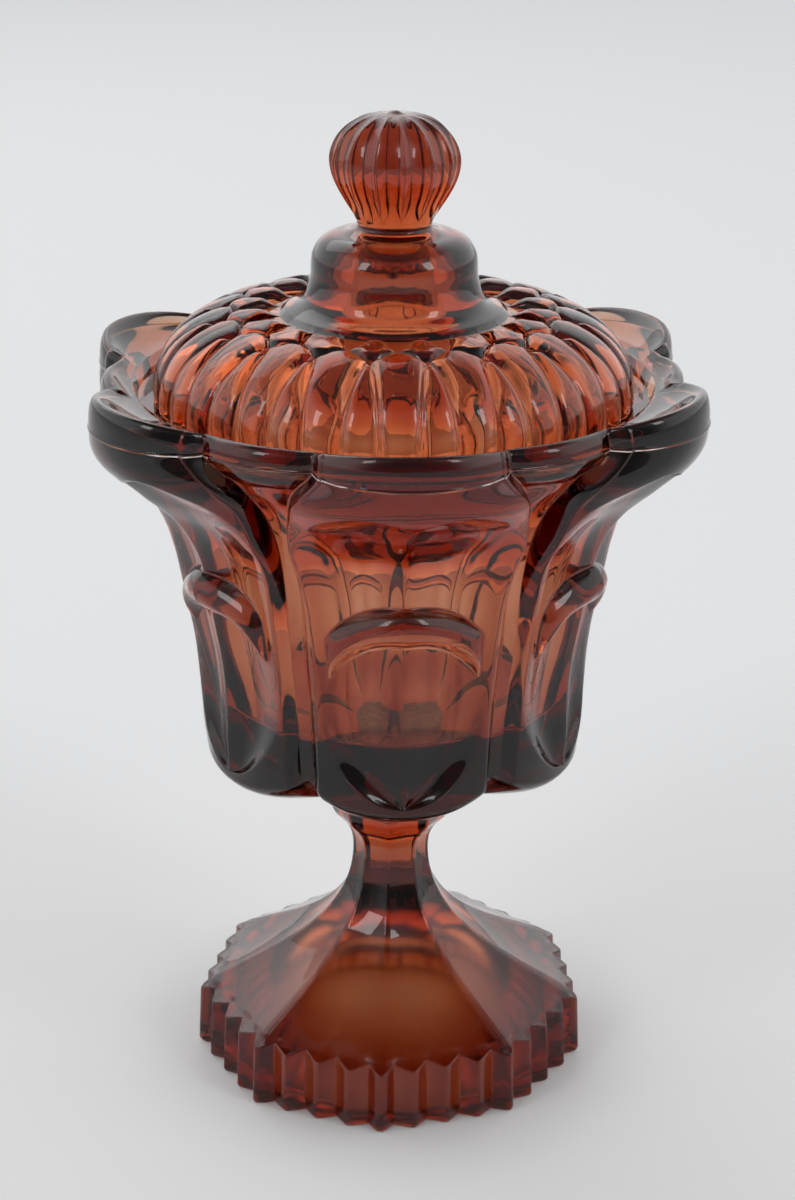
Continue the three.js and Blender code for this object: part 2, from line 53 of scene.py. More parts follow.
# Foot and stem
FOOT_SIDES = 9
FOOT_TURN = math.radians(-6)
TEETH_PER_SIDE = 4
FOOT_BOTTOM_RADIUS = 46.2
SKIRT_DRAFT = 0.6
SKIRT_HEIGHT = 14.6
TOOTH_DEPTH = 2.6
TOOTH_TOP_RISE = 1.1
TOOTH_ROUNDING = 0.12
SKIRT_BOTTOM_ROUNDING = 1
SKIRT_TOP_ROUNDING = 0.7
WAIST_RADIUS = 8.9
FLARE_RISE = 35.2
STEM_TOP_RADIUS = 14.4
STEM_RISE = 18.2
FOOT_FACE_HOLLOW = 0.9
CORNER_SOFTNESS = 0.012
CORNER_WIDTH_SHARE = 0.03
FOOT_RIM_WIDTH = 13.5
HOLLOW_HEIGHT = 29

# Bowl
PETALS = 6
UNDERSIDE_RISE = 10
WALL_RISE = 82
PETAL_RADIUS = 71.1
WEB_INSET = 8.9
PETAL_CREST_INSET = 1.6
PETAL_CREST_RISE = 6.6
WEB_CREST_INSET = 11.1
WEB_CREST_RISE = 3.9
MOUTH_INSET = 14.7
MOUTH_RISE = 1.9
MOUTH_DRAFT = 0.5
LEDGE_DEPTH = 4
LEDGE_WIDTH = 7.4
LEDGE_ROUNDING = 0.6
TONGUE_FLUTE_DEPTH = 2.6
TONGUE_MIDRIB_DROP = 0.6
TONGUE_LOBE_DROP = 0.8
LEAF_FLUTE_DEPTH = 2.7
LEAF_MIDRIB_DROP = 0.9
LIP_LOBE_DROP = 6
EDGE_DROP = 0.7
WEB_SWELL = 1.1
BAND_DEPTH = 3
BAND_BLEND = 2.2
BOTTOM_CURL = 5
KNUCKLE_HALF_HEIGHT = 4.6
KNUCKLE_SWELL = 4.4
KNUCKLE_NOTCH = 0.8
KNUCKLE_ARCH = 20
FLOOR_THICKNESS = 16
FLOOR_DISH = 7
SEAM_WIDTH = 0.7
SEAM_RISE = 0.16

# Lid and knob
LID_CLEARANCE = 3.8
LID_TURN = math.radians(-2)
GADROON_PAIRS = 20
GADROON_DEPTH = 2
LID_EDGE_ROUNDING = 1.2
LID_WALL = 4.6
DOME_SPRING_RISE = 3.3
DOME_RISE = 17.9
COLLAR_FOOT_DROP = 1.2
COLLAR_RISE = 18.9
COLLAR_ROOF = 6.4
KNOB_RIDGES = 14
KNOB_TURN = math.radians(4.9)
KNOB_RADIUS = 13.95
KNOB_LOWER_RISE = 12.8
KNOB_UPPER_RISE = 9.7
KNOB_FLUTE_DEPTH = 1.35
NIPPLE_RADIUS = 2.4
NIPPLE_RISE = 0.7

# Sizes that follow from those above
FOOT_TOP_RADIUS = FOOT_BOTTOM_RADIUS - SKIRT_DRAFT
HOLLOW_RADIUS = FOOT_BOTTOM_RADIUS - FOOT_RIM_WIDTH
WAIST_HEIGHT = SKIRT_HEIGHT + FLARE_RISE
STEM_TOP_HEIGHT = WAIST_HEIGHT + STEM_RISE
BOWL_BOTTOM_HEIGHT = STEM_TOP_HEIGHT + UNDERSIDE_RISE
BOWL_TOP_HEIGHT = BOWL_BOTTOM_HEIGHT + WALL_RISE
WEB_RADIUS = PETAL_RADIUS - WEB_INSET
PETAL_CREST_RADIUS = PETAL_RADIUS - PETAL_CREST_INSET
PETAL_CREST_HEIGHT = BOWL_TOP_HEIGHT + PETAL_CREST_RISE
WEB_CREST_RADIUS = PETAL_RADIUS - WEB_CREST_INSET
WEB_CREST_HEIGHT = BOWL_TOP_HEIGHT + WEB_CREST_RISE
MOUTH_RADIUS = PETAL_RADIUS - MOUTH_INSET
MOUTH_HEIGHT = BOWL_TOP_HEIGHT + MOUTH_RISE
LEDGE_OUTER_RADIUS = MOUTH_RADIUS - MOUTH_DRAFT
LEDGE_INNER_RADIUS = LEDGE_OUTER_RADIUS - LEDGE_WIDTH
LEDGE_HEIGHT = MOUTH_HEIGHT - LEDGE_DEPTH
BAND_HEIGHT = BOWL_TOP_HEIGHT - BAND_DEPTH
FLOOR_HEIGHT = STEM_TOP_HEIGHT + FLOOR_THICKNESS
FLOOR_EDGE_HEIGHT = FLOOR_HEIGHT + FLOOR_DISH
LID_RADIUS = LEDGE_OUTER_RADIUS - LID_CLEARANCE
SEAT_INNER_RADIUS = LID_RADIUS - LID_WALL
DOME_SPRING_HEIGHT = LEDGE_HEIGHT + DOME_SPRING_RISE
DOME_TOP_HEIGHT = DOME_SPRING_HEIGHT + DOME_RISE
COLLAR_FOOT_HEIGHT = DOME_TOP_HEIGHT - COLLAR_FOOT_DROP
NECK_HEIGHT = COLLAR_FOOT_HEIGHT + COLLAR_RISE
COLLAR_HOLLOW_HEIGHT = NECK_HEIGHT - COLLAR_ROOF
KNOB_MIDDLE_HEIGHT = NECK_HEIGHT + KNOB_LOWER_RISE
KNOB_TOP_HEIGHT = KNOB_MIDDLE_HEIGHT + KNOB_UPPER_RISE
NIPPLE_TOP_HEIGHT = KNOB_TOP_HEIGHT + NIPPLE_RISE

# Glass
GLASS_IOR = 1.5
GLASS_ROUGHNESS = 0.02
SATIN_ROUGHNESS = 0.24
GLASS_TINT = (0.763, 0.355, 0.069, 1)
GLASS_DENSITY = 245
RIPPLE_SCALE = 55
RIPPLE_DETAIL = 2
RIPPLE_STRENGTH = 0.35
RIPPLE_DEPTH = 0.5 * MM

# Studio: levels of the surroundings, and where they change, as parts of a unit sphere
STUDIO_COLOUR = (0.985, 0.99, 1, 1)
STUDIO_LEVEL = 1.27
ZENITH_LEVEL = 0.2
ZENITH_EDGE = 0.62
ZENITH_MIDDLE = 0.88
FRONT_SHARE = 0.12
FRONT_EDGE = 0.25
FRONT_MIDDLE = 0.85
FLOOR_COLOUR = (0.93, 0.933, 0.937, 1)
FLOOR_ROUGHNESS = 0.9
FLOOR_REACH = 12

# Softboxes: name, place and target in metres, width and height in metres, power in watts
SOFTBOXES = [
    ("back", (-0.5, 1.1, 1.3), (0, 0, 0.1), (1.4, 1), 4),
    ("left", (-1, -0.8, 1), (0, 0, 0.12), (0.3, 0.55), 2.2),
    ("right", (1, -0.8, 1), (0, 0, 0.12), (0.3, 0.55), 2.2),
]

# How often light is followed through the glass and off its surfaces
GLASS_BOUNCES = 24
GLOSSY_BOUNCES = 12

# Camera, matched to the photograph
PHOTO_HEIGHT = 1200
FOCAL_PIXELS = 2518.1
CAMERA_DISTANCE = 565.1
CAMERA_ELEVATION = math.radians(21.39)
CAMERA_TURN = math.radians(-3.5)
CAMERA_ROLL = math.radians(0.348)
CAMERA_TARGET_HEIGHT = 110.28
VIEW_SHIFT_PIXELS = 5.2
SENSOR_HEIGHT = 24


def smooth(low, high, value):
    """Smooth step from 0 at low to 1 at high, which may be below low."""
    share = np.clip((np.asarray(value, float) - low) / (high - low), 0, 1)
    return share * share * (3 - 2 * share)


def mix(low, high, share):
    return low + (high - low) * share


def polar(radius, angle, height):
    """Points at a radius and height, with the angle from the front towards the right."""
    radius, angle, height = np.broadcast_arrays(radius, angle, height)
    return np.stack([radius * np.sin(angle), -radius * np.cos(angle), height], axis=-1)


def spline(points, along):
    """Catmull-Rom curve through evenly spaced points, at along from 0 to 1."""
    points = np.asarray(points, float)
    last = len(points) - 1
    place = np.clip(np.asarray(along, float), 0, 1) * last
    index = np.minimum(place.astype(int), last - 1)
    t = place - index
    if points.ndim == 2:
        t = t[..., None]
    before = points[np.maximum(index - 1, 0)]
    start = points[index]
    end = points[index + 1]
    after = points[np.minimum(index + 2, last)]
    leave = (end - before) / 2
    arrive = (after - start) / 2
    cubic = (2 * start - 2 * end + leave + arrive) * t**3
    square = (-3 * start + 3 * end - 2 * leave - arrive) * t**2
    return cubic + square + leave * t + start


def bezier(start, first, second, end, share):
    """A point on a cubic Bezier curve."""
    rest = 1 - share
    return (
        start * rest**3
        + first * (3 * rest**2 * share)
        + second * (3 * rest * share**2)
        + end * share**3
    )


def outline(start, end, shares):
    """Points given as shares of the way from one radius and height to another."""
    return np.asarray(start) + (np.asarray(end) - np.asarray(start)) * np.asarray(shares)


def steps(count, first=0):
    """Even shares from 0 to 1, in count steps, from step number first."""
    return [step / count for step in range(first, count + 1)]


def glass_mesh(name, rings, satin_rings=0):
    """A closed mesh from rings with equal numbers of points, with a fan at both ends.

    The first rings may be satin, as the mould leaves a surface that nobody polishes.
    """
    count = len(rings[0])
    corners = np.concatenate([*rings, rings[0].mean(axis=0)[None], rings[-1].mean(axis=0)[None]])
    columns = np.arange(count)
    after = (columns + 1) % count
    quads = []
    for level in range(len(rings) - 1):
        low = level * count
        high = low + count
        quads.append(np.stack([low + columns, low + after, high + after, high + columns], axis=-1))
    quads = np.concatenate(quads)
    first_tip = len(rings) * count
    top = (len(rings) - 1) * count
    fans = np.concatenate(
        [
            np.stack([after, columns, np.full(count, first_tip)], axis=-1),
            np.stack([top + columns, top + after, np.full(count, first_tip + 1)], axis=-1),
        ]
    )
    mesh = bpy.data.meshes.new(name)
    mesh.from_pydata((corners * MM).tolist(), [], quads.tolist() + fans.tolist())
    mesh.polygons.foreach_set("use_smooth", [True] * len(mesh.polygons))
    satin = np.zeros(len(corners))
    satin[: satin_rings * count] = 1
    satin[first_tip] = satin_rings > 0
    mesh.attributes.new("satin", "FLOAT", "POINT").data.foreach_set("value", satin)
    piece = bpy.data.objects.new(name, mesh)
    bpy.context.scene.collection.objects.link(piece)
    return piece


# Foot: nine hollowed faces above a skirt of V teeth

DISH_COLUMNS = 1008
SIDE_ANGLE = FULL_TURN / FOOT_SIDES
SIDE_COLUMNS = DISH_COLUMNS // FOOT_SIDES
DISH_STEPS = np.arange(DISH_COLUMNS)
SIDE_SHARES = (DISH_STEPS % SIDE_COLUMNS) / SIDE_COLUMNS
SIDE_NUMBERS = DISH_STEPS // SIDE_COLUMNS
FOOT_ANGLES = FOOT_TURN + (SIDE_NUMBERS + SIDE_SHARES) * SIDE_ANGLE
HOLLOW_POWER = 1.2
HOLLOW_STEPS = 36
SKIRT_BOTTOM_STEPS = 4
SKIRT_SIDE_STEPS = 4
SKIRT_TOP_STEPS = 5
FLARE_STEPS = 60
FLARE_FIRST_STEP = 4
STEM_STEPS = 24
FLARE_SHARES = [(0, 0), (0.4, 0.24), (1, 0.42), (1, 1)]
STEM_SHARES = [(0, 0), (0, 0.45), (1, 0.3), (1, 0.75)]


def facet_ring(corner_radius, height, hollow):
    """A nine-sided ring with each side hollowed a little and its corners softened."""
    from_middle = (SIDE_SHARES - 0.5) * SIDE_ANGLE
    side = corner_radius * math.cos(SIDE_ANGLE / 2) / np.cos(from_middle)
    bowed = 4 * SIDE_SHARES * (1 - SIDE_SHARES)
    from_corner = np.minimum(SIDE_SHARES, 1 - SIDE_SHARES) / CORNER_WIDTH_SHARE
    softened = CORNER_SOFTNESS * corner_radius * np.exp(-(from_corner**2))
    return polar(side - hollow * bowed - softened, FOOT_ANGLES, height)


def toothed_ring(corner_radius, height, depth, valley_rise):
    """The nine-sided ring with teeth: a ridge on every corner and at each quarter of a side."""
    straight = facet_ring(corner_radius, height, 0)
    share = (SIDE_SHARES * TEETH_PER_SIDE) % 1
    from_valley = np.abs(2 * share - 1)
    ridge = np.sqrt((1 - from_valley) ** 2 + TOOTH_ROUNDING**2) - TOOTH_ROUNDING
    sunk = ridge / (math.sqrt(1 + TOOTH_ROUNDING**2) - TOOTH_ROUNDING)
    middle = FOOT_TURN + (SIDE_NUMBERS + 0.5) * SIDE_ANGLE
    return straight - polar(depth * sunk, middle, -valley_rise * sunk)


def hollow_rings():
    """The hollow under the foot, down to a round opening in the flat base."""
    rings = []
    for share in steps(HOLLOW_STEPS, 1):
        turn = share * QUARTER_TURN
        height = HOLLOW_HEIGHT * max(math.cos(turn), 0) ** HOLLOW_POWER
        rings.append(polar(HOLLOW_RADIUS * math.sin(turn), FOOT_ANGLES, height))
    return rings


def skirt_rings():
    """The toothed skirt, with its lower and upper edges rounded."""
    rings = []
    for share in steps(SKIRT_BOTTOM_STEPS):
        turn = share * QUARTER_TURN
        radius = FOOT_BOTTOM_RADIUS - SKIRT_BOTTOM_ROUNDING * (1 - math.sin(turn))
        height = SKIRT_BOTTOM_ROUNDING * (1 - math.cos(turn))
        rings.append(toothed_ring(radius, height, TOOTH_DEPTH, 0))
    for share in steps(SKIRT_SIDE_STEPS, 1):
        radius = mix(FOOT_BOTTOM_RADIUS, FOOT_TOP_RADIUS, share)
        height = mix(SKIRT_BOTTOM_ROUNDING, SKIRT_HEIGHT - SKIRT_TOP_ROUNDING, share)
        rings.append(toothed_ring(radius, height, TOOTH_DEPTH, TOOTH_TOP_RISE * share))
    for share in steps(SKIRT_TOP_STEPS, 1):
        turn = share * QUARTER_TURN
        radius = FOOT_TOP_RADIUS - SKIRT_TOP_ROUNDING * (1 - math.cos(turn))
        height = SKIRT_HEIGHT - SKIRT_TOP_ROUNDING * (1 - math.sin(turn))
        rings.append(toothed_ring(radius, height, TOOTH_DEPTH, TOOTH_TOP_RISE))
    return rings


def facet_rings(start, end, shares, count, first):
    """Nine-sided rings along a curve between two radii and heights."""
    curve = outline(start, end, shares)
    rings = []
    for share in steps(count, first):
        radius, height = bezier(*curve, share)
        rings.append(facet_ring(radius, height, FOOT_FACE_HOLLOW * radius / FOOT_TOP_RADIUS))
    return rings


def foot_rings():
    """The hollow underside, the skirt, the flare and the waisted stem."""
    corner = (FOOT_TOP_RADIUS, SKIRT_HEIGHT)
    waist = (WAIST_RADIUS, WAIST_HEIGHT)
    stem_top = (STEM_TOP_RADIUS, STEM_TOP_HEIGHT)
    flare = facet_rings(corner, waist, FLARE_SHARES, FLARE_STEPS, FLARE_FIRST_STEP)
    stem = facet_rings(waist, stem_top, STEM_SHARES, STEM_STEPS, 1)
    return [*hollow_rings(), *skirt_rings(), *flare, *stem]


# Bowl: petals with a tongue below an arched knuckle, a fluted leaf above it, and webs between

PETAL_ANGLE = FULL_TURN / PETALS
HALF_PETAL = PETAL_ANGLE / 2
PETAL_RADIUS_SHARES = [
    0.604, 0.613, 0.614, 0.617, 0.627, 0.645, 0.663, 0.683, 0.716, 0.779, 0.883, 0.972, 1,
]
WEB_RADIUS_SHARES = [
    0.568, 0.577, 0.587, 0.598, 0.613, 0.63, 0.643, 0.653, 0.67, 0.699, 0.748, 0.821, 0.875,
]
EDGE_SHARES = [0.93, 0.93, 0.93, 0.93, 0.93, 0.93, 0.93, 0.93, 0.93, 0.925, 0.9, 0.81, 0.61]
RIB_SHARES = [0.8, 0.8, 0.8, 0.8, 0.8, 0.8, 0.81, 0.82, 0.84, 0.84, 0.8, 0.7, 0.52]
OPEN_SHARE = 0.8
TONGUE_BOTTOM_SHARE = 0.012
TONGUE_MIDDLE_SHARE = 0.28
KNUCKLE_SHARE = 0.54
LEAF_MIDDLE_SHARE = 0.73
LEAF_TOP_SHARE = 0.88
LEAF_HEART_SHARE = 0.042
CURL_POWER = 2.3
ARCH_REACH_SHARE = 0.86
ARCH_FADE_SHARE = 0.2
NOTCH_WIDTH_SHARE = 0.14
KNUCKLE_POWER = 0.8
KNUCKLE_END_POWER = 4
SPOON_POWER = 2
LOBE_POWER = 2.2
LEAF_POWER = 3
FLUTE_POWER = 1.25
FLUTE_END_POWER = 0.6
CLOSING_POWER = 1.5
TONGUE_STEPS = 100
KNUCKLE_STEPS = 56
LEAF_STEPS = 120

# Columns from a petal's middle to its rib, edge and web, which add up to half a petal's
ZONE_COLUMNS = (45, 22, 17)


def petal_columns():
    """Petal number, side and place across (0 middle, 1 rib, 2 edge, 3 web) of every column."""
    half = [zone + step / count for zone, count in enumerate(ZONE_COLUMNS) for step in range(count)]
    left = [3, *reversed(half)]
    right = half[1:]
    across = np.tile([*left, *right], PETALS)
    side = np.tile([-1] * len(left) + [1] * len(right), PETALS)
    number = np.repeat(np.arange(PETALS), len(left) + len(right))
    return number, side, across


PETAL_NUMBERS, PETAL_SIDES, ACROSS = petal_columns()
FROM_MIDDLE = np.minimum(ACROSS, 1)
ON_RIB = np.clip(ACROSS - 1, 0, 1)
ON_WEB = np.clip(ACROSS - 2, 0, 1)


def wall_height(share):
    return BOWL_BOTTOM_HEIGHT + WALL_RISE * share


def along_wall(shares, height):
    return spline(shares, (height - BOWL_BOTTOM_HEIGHT) / WALL_RISE)


def curl(level):
    """How far the bottom edge curls up from the middle of a tongue to the web."""
    rib, edge = RIB_SHARES[0], EDGE_SHARES[0]
    share = np.where(ACROSS > 1, mix(rib, edge, ON_RIB), rib * ACROSS)
    share = np.where(ACROSS > 2, mix(edge, 1, ON_WEB), share)
    fade = 1 - smooth(BOWL_BOTTOM_HEIGHT, wall_height(TONGUE_MIDDLE_SHARE), level)
    return BOTTOM_CURL * fade * share**CURL_POWER


def sag(level):
    """How far the arched knuckle and the flutes drop towards the petal's edges."""
    centre = wall_height(KNUCKLE_SHARE)
    low = smooth(wall_height(KNUCKLE_SHARE - TONGUE_MIDDLE_SHARE), centre, level)
    high = 1 - smooth(centre, wall_height(KNUCKLE_SHARE + ARCH_FADE_SHARE), level)
    reach = np.minimum(FROM_MIDDLE, ARCH_REACH_SHARE)
    return KNUCKLE_ARCH * (1 - np.sqrt(1 - reach**2)) * np.minimum(low, high)


def knuckle(level):
    """The arched swelling, with a notch in its middle, that ends at the ribs."""
    offset = min(abs(level - wall_height(KNUCKLE_SHARE)) / KNUCKLE_HALF_HEIGHT, 1)
    reach = np.minimum(FROM_MIDDLE / ARCH_REACH_SHARE, 1)
    notch = KNUCKLE_NOTCH * np.exp(-((FROM_MIDDLE / NOTCH_WIDTH_SHARE) ** 2))
    swell = KNUCKLE_SWELL * np.sqrt(1 - reach**KNUCKLE_END_POWER)
    return (swell - notch) * (1 - offset**2) ** KNUCKLE_POWER


def flute_opening(level):
    """How much of the petal's width the flutes take: they close in spoons and arches."""
    share = (level - BOWL_BOTTOM_HEIGHT) / WALL_RISE
    leaf_top = LEAF_TOP_SHARE + LEAF_HEART_SHARE * np.sin(math.pi * FROM_MIDDLE)
    below = max((TONGUE_MIDDLE_SHARE - share) / (TONGUE_MIDDLE_SHARE - TONGUE_BOTTOM_SHARE), 0)
    above = np.maximum((share - LEAF_MIDDLE_SHARE) / (leaf_top - LEAF_MIDDLE_SHARE), 0)
    low = max(1 - below**SPOON_POWER, 0) ** (1 / SPOON_POWER)
    high = np.maximum(1 - above**LEAF_POWER, 0) ** (1 / LEAF_POWER)
    return np.minimum(low, high)


def flute(level):
    """Two flutes with a midrib between them, on the tongue and on the leaf above it."""
    opening = flute_opening(level)
    centre = wall_height(KNUCKLE_SHARE)
    leaf_share = smooth(centre - KNUCKLE_HALF_HEIGHT, centre + KNUCKLE_HALF_HEIGHT, level)
    depth = mix(TONGUE_FLUTE_DEPTH, LEAF_FLUTE_DEPTH, leaf_share)
    drop = mix(TONGUE_MIDRIB_DROP, LEAF_MIDRIB_DROP, leaf_share)
    share = np.minimum(FROM_MIDDLE / np.maximum(opening, NARROWEST_SHARE), 1)
    wave = np.maximum(np.sin(math.pi * share), 0) ** FLUTE_POWER
    midrib = (1 + np.cos(math.pi * share)) / 2
    return (depth * wave + drop * midrib) * opening**FLUTE_END_POWER


def lobe_drop(height):
    """How far a petal rounds off from its middle to its ribs."""
    tongue = 1 - smooth(BOWL_BOTTOM_HEIGHT, wall_height(TONGUE_MIDDLE_SHARE), height)
    lip = smooth(wall_height(LEAF_MIDDLE_SHARE), wall_height(LEAF_TOP_SHARE), height)
    return TONGUE_LOBE_DROP * tongue + LIP_LOBE_DROP * lip


def wall_ring(level):
    """One ring of the bowl's outer wall."""
    height = level - sag(level) + curl(level)
    edge = along_wall(EDGE_SHARES, height)
    rib = along_wall(RIB_SHARES, height)
    band_step = 1 - smooth(BAND_HEIGHT - BAND_BLEND, BAND_HEIGHT, height)
    web_wall = PETAL_RADIUS * along_wall(WEB_RADIUS_SHARES, height) - band_step * EDGE_DROP
    petal_wall = PETAL_RADIUS * along_wall(PETAL_RADIUS_SHARES, height)
    petal_wall = petal_wall - lobe_drop(height) * FROM_MIDDLE**LOBE_POWER
    opened = smooth(EDGE_SHARES[0], OPEN_SHARE, edge)
    edge_radius = web_wall - EDGE_DROP * opened
    petal_part = petal_wall + knuckle(level) - flute(level)
    rib_part = mix(edge_radius, petal_wall, np.cos(ON_RIB * QUARTER_TURN))
    web_part = mix(edge_radius, web_wall + WEB_SWELL * opened, np.sin(ON_WEB * QUARTER_TURN))
    radius = np.where(ACROSS <= 1, petal_part, np.where(ACROSS <= 2, rib_part, web_part))
    share = np.where(ACROSS <= 1, rib * ACROSS, mix(rib, edge, ON_RIB))
    share = np.where(ACROSS > 2, mix(edge, 1, ON_WEB), share)
    return polar(radius, PETAL_NUMBERS * PETAL_ANGLE + PETAL_SIDES * share * HALF_PETAL, height)


def wall_rings():
    """The wall's rings, closest at the bottom curl, over the knuckle and at the lip."""
    low = wall_height(KNUCKLE_SHARE) - KNUCKLE_HALF_HEIGHT
    high = wall_height(KNUCKLE_SHARE) + KNUCKLE_HALF_HEIGHT
    tongue = [mix(BOWL_BOTTOM_HEIGHT, low, share**CLOSING_POWER) for share in steps(TONGUE_STEPS)]
    knuckle_levels = [mix(low, high, share) for share in steps(KNUCKLE_STEPS)]
    leaf = [mix(BOWL_TOP_HEIGHT, high, (1 - share) ** CLOSING_POWER) for share in steps(LEAF_STEPS)]
    return [wall_ring(level) for level in [*tongue[:-1], *knuckle_levels[:-1], *leaf]]


def moved(ring, radius, height):
    """The ring with its points at another radius and height, at their own angles."""
    angle = np.arctan2(ring[:, 0], -ring[:, 1])
    return polar(radius, angle, height)


# Under the bowl: handles as shares of the way out and up, below a tongue and below the web
UNDER_LOW_OUT_SHARE = 0.55
UNDER_HIGH_OUT_SHARE = 0.985
UNDER_LOW_UP_SHARES = (0.35, 0.4)
UNDER_HIGH_UP_SHARES = (0.56, 0.86)
UNDER_STEPS = 48


def underside_rings(bottom):
    """From the stem out under the tongues to the bottom of the wall."""
    radius = np.hypot(bottom[:, 0], bottom[:, 1])
    height = bottom[:, 2]
    curled = (height - BOWL_BOTTOM_HEIGHT) / BOTTOM_CURL
    low_up = mix(STEM_TOP_HEIGHT, height, mix(*UNDER_LOW_UP_SHARES, curled))
    high_up = mix(STEM_TOP_HEIGHT, height, mix(*UNDER_HIGH_UP_SHARES, curled))
    start = moved(bottom, STEM_TOP_RADIUS, STEM_TOP_HEIGHT)
    low = moved(bottom, mix(STEM_TOP_RADIUS, radius, UNDER_LOW_OUT_SHARE), low_up)
    high = moved(bottom, mix(STEM_TOP_RADIUS, radius, UNDER_HIGH_OUT_SHARE), high_up)
    return [bezier(start, low, high, bottom, along) for along in steps(UNDER_STEPS)][:-1]


# Lip: handles as shares of the way up and in, over the crest and down to the mouth
LIP_RISE_SHARE = 0.7
LIP_TURN_SHARE = 0.6
LIP_FALL_SHARE = 0.8
LIP_SETTLE_SHARE = 0.6
LIP_OUTER_STEPS = 30
LIP_INNER_STEPS = 24
SEAM_RINGS = 7


def seam_rings(top):
    """The fine line that the mould leaves round the widest level of the lip."""
    radius = np.hypot(top[:, 0], top[:, 1])
    rings = []
    for turn in np.linspace(-QUARTER_TURN, QUARTER_TURN, SEAM_RINGS):
        height = top[:, 2] + SEAM_WIDTH / 2 * math.sin(turn)
        rings.append(moved(top, radius + SEAM_RISE * math.cos(turn), height))
    return rings


def lip_rings(top):
    """Over the rolled lip to the mouth of the bowl."""
    radius = np.hypot(top[:, 0], top[:, 1])
    out = np.clip((radius - WEB_RADIUS) / WEB_INSET, 0, 1)
    crest_radius = mix(WEB_CREST_RADIUS, PETAL_CREST_RADIUS, out)
    crest_height = mix(WEB_CREST_HEIGHT, PETAL_CREST_HEIGHT, out)
    crest = moved(top, crest_radius, crest_height)
    rising = moved(top, radius, mix(top[:, 2], crest_height, LIP_RISE_SHARE))
    turning = moved(top, mix(crest_radius, radius, LIP_TURN_SHARE), crest_height)
    mouth = moved(top, MOUTH_RADIUS, MOUTH_HEIGHT)
    falling = moved(top, mix(MOUTH_RADIUS, crest_radius, LIP_FALL_SHARE), crest_height)
    settling = moved(top, mix(MOUTH_RADIUS, crest_radius, LIP_SETTLE_SHARE), MOUTH_HEIGHT)
    outer = [bezier(top, rising, turning, crest, along) for along in steps(LIP_OUTER_STEPS, 1)]
    inner = [bezier(crest, falling, settling, mouth, along) for along in steps(LIP_INNER_STEPS, 1)]
    return [*outer, *inner]


# Inside the bowl
LEDGE_STEPS = 5
INSIDE_STEPS = 48
FLOOR_STEPS = 20
FLOOR_RADIUS_SHARE = 0.4923
INSIDE_SHARES = [(0, 0), (0.4, 0.2), (0.58, 0.42), (0.73, 0.7), (1, 1)]


def inside_rings(columns):
    """The recess for the lid, its ledge, the inner wall and the shallow floor."""
    floor_radius = PETAL_RADIUS * FLOOR_RADIUS_SHARE
    ledge_start = LEDGE_OUTER_RADIUS - LEDGE_ROUNDING
    ledge_end = LEDGE_INNER_RADIUS + LEDGE_ROUNDING
    wall_top = (LEDGE_INNER_RADIUS, LEDGE_HEIGHT - LEDGE_ROUNDING)
    places = [(LEDGE_OUTER_RADIUS, LEDGE_HEIGHT + LEDGE_ROUNDING)]
    for share in steps(LEDGE_STEPS):
        places.append((mix(ledge_start, ledge_end, share), LEDGE_HEIGHT))
    wall = outline(wall_top, (floor_radius, FLOOR_EDGE_HEIGHT), INSIDE_SHARES)
    places.extend(spline(wall, share) for share in steps(INSIDE_STEPS))
    for share in steps(FLOOR_STEPS, 1)[:-1]:
        rest = 1 - share
        places.append((floor_radius * rest, mix(FLOOR_HEIGHT, FLOOR_EDGE_HEIGHT, rest * rest)))
    return [moved(columns, radius, height) for radius, height in places]


def dish():
    """The foot, stem and bowl as one piece of glass."""
    wall = wall_rings()
    bottom, top = wall[0], wall[-1]
    rings = [*foot_rings(), *underside_rings(bottom), *wall[:-1]]
    rings.extend([*seam_rings(top), *lip_rings(top), *inside_rings(top)])
    piece = glass_mesh("dish_glass", rings, HOLLOW_STEPS)
    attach(piece, "dish")
    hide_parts("foot", "bowl")
    return piece


# Lid: gadroons in pairs, diamonds and a collar, and the ribbed knob

PINCH_SHARE = 0.7255
ARCH_SHARE = 0.641
DIAMOND_SHARE = 0.468
COLLAR_FOOT_SHARE = 0.451
NECK_SHARE = 0.58
PINCH_RADIUS = LID_RADIUS * PINCH_SHARE
ARCH_RADIUS = LID_RADIUS * ARCH_SHARE
DIAMOND_RADIUS = LID_RADIUS * DIAMOND_SHARE
COLLAR_FOOT_RADIUS = LID_RADIUS * COLLAR_FOOT_SHARE
NECK_RADIUS = KNOB_RADIUS * NECK_SHARE
DOME_POWER = 5
DOME_SQUARENESS = 0.55
GADROON_POWER = 2.4
GADROON_EDGE_SHARE = 0.5
FROM_PINCH_POWER = 0.65
ARCH_POWER = 0.7
EDGE_STEPS = 5
GADROON_STEPS = 56
ARCH_STEPS = 14
DIAMOND_STEPS = 16
LID_COLUMNS = 840
PAIR_COLUMNS = LID_COLUMNS // GADROON_PAIRS
PAIR_ANGLE = FULL_TURN / GADROON_PAIRS
HALF_PAIR = PAIR_ANGLE / 2
LID_STEPS = np.arange(LID_COLUMNS)
LID_ANGLES = LID_TURN + LID_STEPS * FULL_TURN / LID_COLUMNS


def dome_height(radius):
    share = min(radius / LID_RADIUS, 1)
    return DOME_SPRING_HEIGHT + DOME_RISE * (1 - share**DOME_POWER) ** DOME_SQUARENESS


